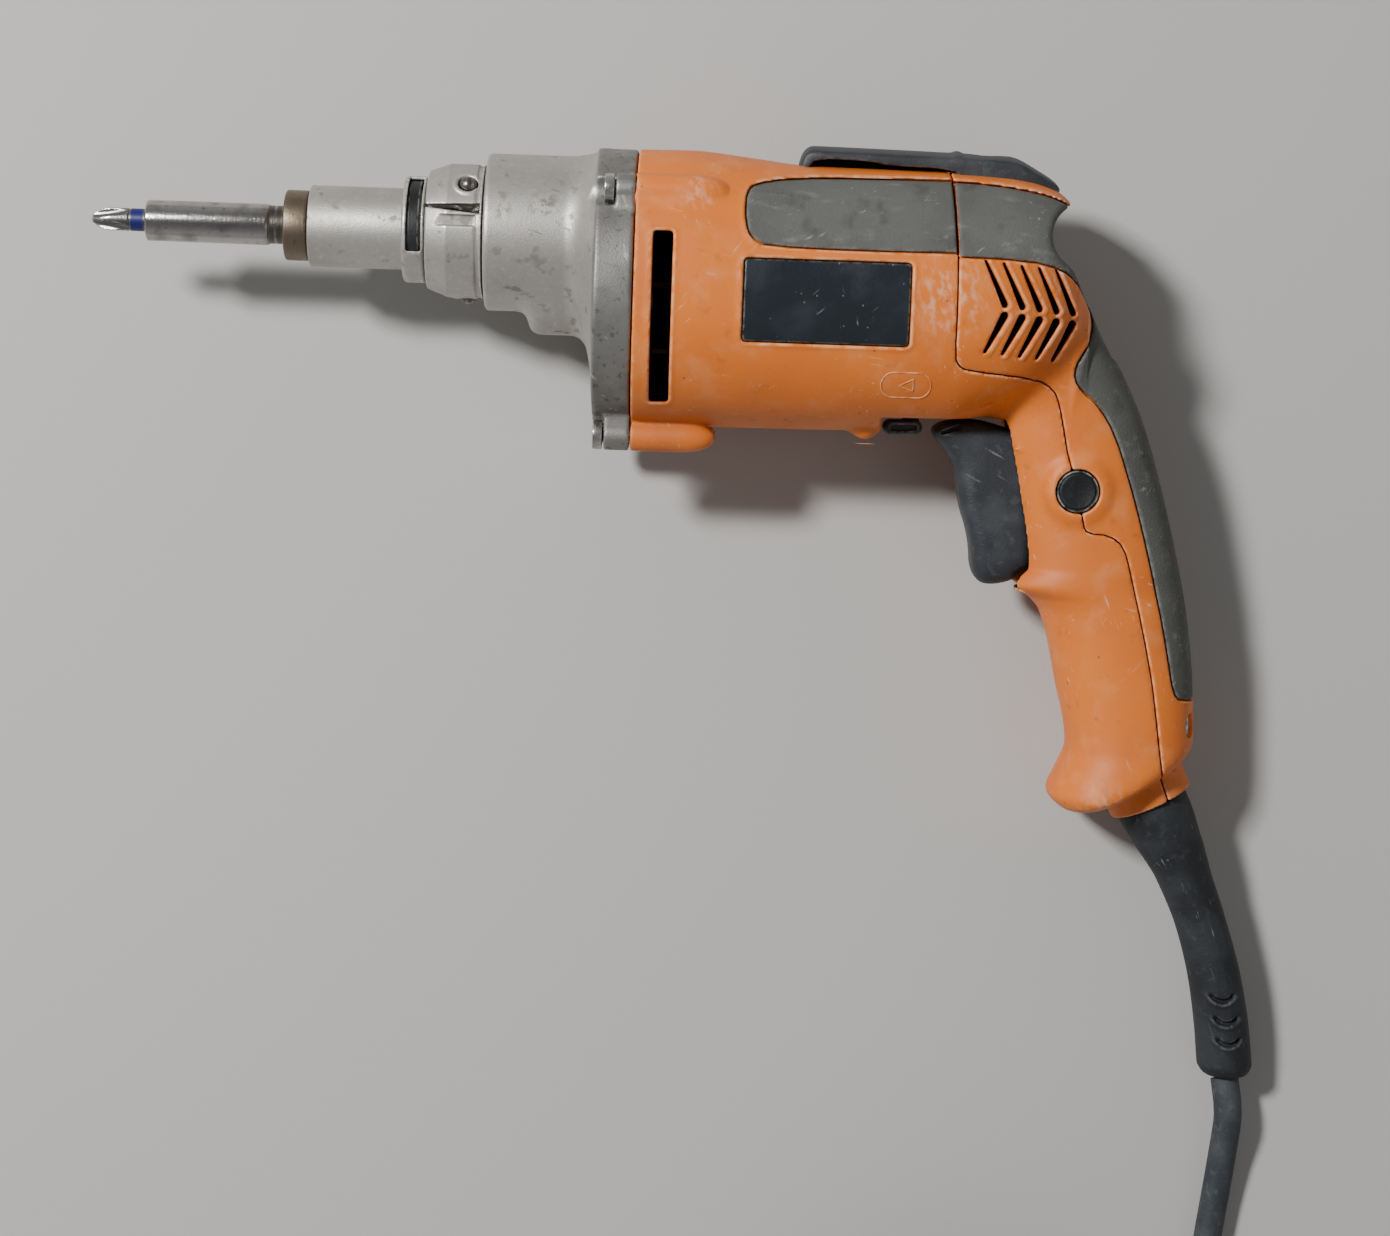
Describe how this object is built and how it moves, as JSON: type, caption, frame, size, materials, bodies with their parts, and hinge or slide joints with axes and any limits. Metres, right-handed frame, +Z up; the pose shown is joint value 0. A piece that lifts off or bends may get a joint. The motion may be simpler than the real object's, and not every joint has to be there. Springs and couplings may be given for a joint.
{
  "type": "corded drywall screwdriver",
  "caption": "Pistol-grip corded drywall screwdriver lying on its side, with a metal gear case, a driver bit, a trigger, a belt hook and a coiled mains cord.",
  "frame": {"origin": "on the ground, below the middle of the lying tool's footprint, measured without the cord", "axes": "+X along the spindle from the bit to the rear, +Y towards the tool's top with the grip towards -Y, +Z up from the ground, out of the tool's left side"},
  "size_m": [0.3308, 0.4388, 0.0742],
  "materials": {
    "housing_orange": "worn matte orange moulding, dirty in its hollows",
    "grip_rubber": "chalky grey moulded rubber",
    "control_plastic": "dark grey plastic, rubbed pale on its edges",
    "black_plastic": "near black smooth plastic",
    "cast_metal": "bead-blasted die casting with worn bright edges",
    "holder_chrome": "polished chrome plating with fine scratches",
    "bright_steel": "bright steel",
    "dark_steel": "oiled dark steel",
    "bearing_bronze": "sintered bronze, stained brown",
    "copper": "enamelled copper",
    "brass": "satin brass",
    "carbon": "pressed carbon",
    "label_plate": "plain dark plate, lightly scratched",
    "cord_rubber": "near black rubber with dust in its creases"
  },
  "bodies": {
    "housing": {"motor_housing": "housing_orange", "rear_cover": "housing_orange", "side_grip_left": "grip_rubber", "side_grip_right": "grip_rubber", "cover_grip": "grip_rubber", "belt_hook": "control_plastic", "coil_tie": "control_plastic", "switch_body": "black_plastic", "cord_clamp": "black_plastic", "gear_case": "cast_metal", "bearing_plate": "cast_metal", "nose_tube": "cast_metal", "lock_ring": "cast_metal", "detent_collar": "cast_metal", "case_screw_1": "bright_steel", "case_screw_2": "bright_steel", "case_screw_3": "bright_steel", "case_screw_4": "bright_steel", "hook_screw": "bright_steel", "cover_screw_1": "bright_steel", "cover_screw_2": "bright_steel", "front_bearing": "bright_steel", "rear_bearing": "bright_steel", "lock_spring": "dark_steel", "field_core": "dark_steel", "nose_collar": "bearing_bronze", "spindle_bearing": "bearing_bronze", "field_coil_upper": "copper", "field_coil_lower": "copper", "brush_holder_left": "brass", "brush_holder_right": "brass", "plug_blade_1": "brass", "plug_blade_2": "brass", "carbon_brush_left": "carbon", "carbon_brush_right": "carbon", "label_left": "label_plate", "label_right": "label_plate", "strain_relief": "cord_rubber", "cord": "cord_rubber", "cord_coil": "cord_rubber", "cord_tail": "cord_rubber", "plug_body": "cord_rubber"},
    "thrust": {"thrust_washer": "bright_steel"},
    "spindle": {"spindle": "bright_steel", "bit_holder": "holder_chrome", "screw_bit": "bright_steel", "clutch_spring": "bright_steel"},
    "drive_gear": {"drive_gear": "dark_steel"},
    "armature": {"armature_shaft": "bright_steel", "armature_core": "dark_steel", "winding_front": "copper", "winding_rear": "copper", "commutator": "copper", "fan": "black_plastic"},
    "detent_ball_1": {"detent_ball_1": "holder_chrome"},
    "detent_ball_2": {"detent_ball_2": "holder_chrome"},
    "detent_ball_3": {"detent_ball_3": "holder_chrome"},
    "trigger": {"trigger": "control_plastic"},
    "lock_button": {"lock_button": "black_plastic"},
    "reversing_lever": {"reversing_lever": "control_plastic"}
  },
  "joints": [
    {"name": "spindle_push", "type": "slide", "parent": "housing", "child": "thrust", "axis": [1, 0, 0], "range_m": [0, 0.0035], "stiffness_N_per_m": 1500, "springref_m": -0.003, "deforming": ["clutch_spring"]},
    {"name": "spindle_spin", "type": "hinge", "parent": "thrust", "child": "spindle", "pos_m": [-0.07597, 0.10078, 0.03879], "axis": [1, 0, 0], "continuous": true},
    {"name": "armature_spin", "type": "hinge", "parent": "housing", "child": "armature", "pos_m": [0.02403, 0.08403, 0.03673], "axis": [1, 0, 0], "continuous": true},
    {"name": "drive_gear_spin", "type": "hinge", "parent": "housing", "child": "drive_gear", "pos_m": [-0.03097, 0.10078, 0.03879], "axis": [1, 0, 0], "continuous": true},
    {"name": "detent_ball_1_press", "type": "slide", "parent": "housing", "child": "detent_ball_1", "axis": [0, -0.6157, -0.788], "range_m": [0, 0.0008], "stiffness_N_per_m": 600, "springref_m": -0.001},
    {"name": "detent_ball_2_press", "type": "slide", "parent": "housing", "child": "detent_ball_2", "axis": [0, 0.9925, 0.1219], "range_m": [0, 0.0008], "stiffness_N_per_m": 600, "springref_m": -0.001},
    {"name": "detent_ball_3_press", "type": "slide", "parent": "housing", "child": "detent_ball_3", "axis": [0, -0.788, 0.6157], "range_m": [0, 0.0008], "stiffness_N_per_m": 600, "springref_m": -0.001},
    {"name": "trigger_pull", "type": "slide", "parent": "housing", "child": "trigger", "axis": [1, 0, 0], "range_m": [0, 0.0065], "stiffness_N_per_m": 900, "springref_m": -0.003},
    {"name": "lock_button_press", "type": "slide", "parent": "housing", "child": "lock_button", "axis": [0, 0.1219, -0.9925], "range_m": [0, 0.003], "stiffness_N_per_m": 500, "springref_m": -0.0015},
    {"name": "reversing_lever_turn", "type": "hinge", "parent": "housing", "child": "reversing_lever", "pos_m": [0.06103, 0.05214, 0.03282], "axis": [0, 0.9925, 0.1219], "range_deg": [-12, 12]}
  ],
  "couplings": [
    {"joint": "drive_gear_spin", "follows": "armature_spin", "ratio": -0.18421}
  ]
}
